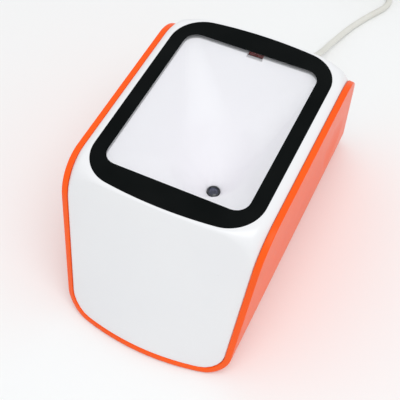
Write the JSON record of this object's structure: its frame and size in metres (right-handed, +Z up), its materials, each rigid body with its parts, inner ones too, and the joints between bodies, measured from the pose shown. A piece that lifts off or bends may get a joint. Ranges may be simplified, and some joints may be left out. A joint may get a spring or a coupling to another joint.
{
  "type": "flatbed barcode scanner",
  "caption": "Low tapered desk scanner: white housing with a black-framed glass window over a light well and lens, in an orange U-shaped shell, with a coiled USB cable.",
  "frame": {"origin": "middle of the base on the table, under the middle of the shell", "axes": "+Z up through the window, -Y towards the front end, +Y towards the cable, +X to the right"},
  "size_m": [0.0904, 0.3197, 0.0774],
  "materials": {
    "orange_shell": "satin, fine grain",
    "white_case": "semi-gloss, smooth",
    "window_glass": "clear, polished",
    "black_print": "printed frame, smooth",
    "black_gasket": "matt foam",
    "white_well": "matt, diffusing",
    "lens_black": "black anodised look",
    "lens_glass": "coated lens",
    "chip_black": "moulded resin",
    "board_green": "solder mask",
    "board_white": "white solder mask",
    "brass": "turned",
    "steel": "zinc plated",
    "flex_amber": "flexible film",
    "socket_cream": "moulded",
    "led_cream": "phosphor over white",
    "red_filter": "dark red, clear tint",
    "base_grey": "moulded, fine grain",
    "ballast_steel": "rolled sheet",
    "foot_rubber": "matt",
    "label_silver": "blank satin foil",
    "socket_black": "moulded",
    "gold": "gold plated",
    "key_grey": "moulded",
    "plug_clear": "cloudy clear polymer",
    "cable_white": "soft white jacket",
    "tie_black": "ribbed tie",
    "usb_white": "overmould",
    "usb_steel": "folded plated sheet",
    "usb_tongue": "moulded"
  },
  "bodies": {
    "scanner": {"outer_shell": "orange_shell", "housing": "white_case", "window_glass": "window_glass", "window_border": "black_print", "window_gasket": "black_gasket", "light_well": "white_well", "lens_barrel": "lens_black", "lens_glass": "lens_glass", "lens_holder": "lens_black", "image_sensor": "chip_black", "camera_board": "board_green", "camera_spacers": "brass", "camera_screws": "steel", "camera_flex": "flex_amber", "flex_sockets": "socket_cream", "led_board_front": "board_white", "led_board_rear": "board_white", "led_chips": "led_cream", "sensor_window": "red_filter", "sensor_board": "board_green", "main_board": "board_green", "board_chips": "chip_black", "buzzer": "chip_black", "board_screws": "steel", "base_plate": "base_grey", "ballast_plate": "ballast_steel", "base_screws": "steel", "shell_screws": "steel", "rubber_feet": "foot_rubber", "rating_plate": "label_silver", "cable_socket": "socket_black", "socket_contacts": "gold", "reset_switch": "chip_black", "plug_body": "plug_clear", "plug_boot": "cable_white", "cable_lead": "cable_white", "cable_coil": "cable_white", "coil_tie": "tie_black", "usb_plug": "usb_white", "usb_shell": "usb_steel", "usb_tongue": "usb_tongue"},
    "latch": {"plug_latch": "plug_clear"},
    "key": {"reset_key": "key_grey"}
  },
  "joints": [
    {"name": "latch_hinge", "type": "hinge", "parent": "scanner", "child": "latch", "pos_m": [0.008, 0.0555, 0.0219], "axis": [-1, 0, 0], "range_deg": [0, 6.5], "stiffness_Nm_per_rad": 0.2},
    {"name": "key_press", "type": "slide", "parent": "scanner", "child": "key", "axis": [0, -1, 0], "range_m": [0, 0.0008], "stiffness_N_per_m": 300}
  ]
}
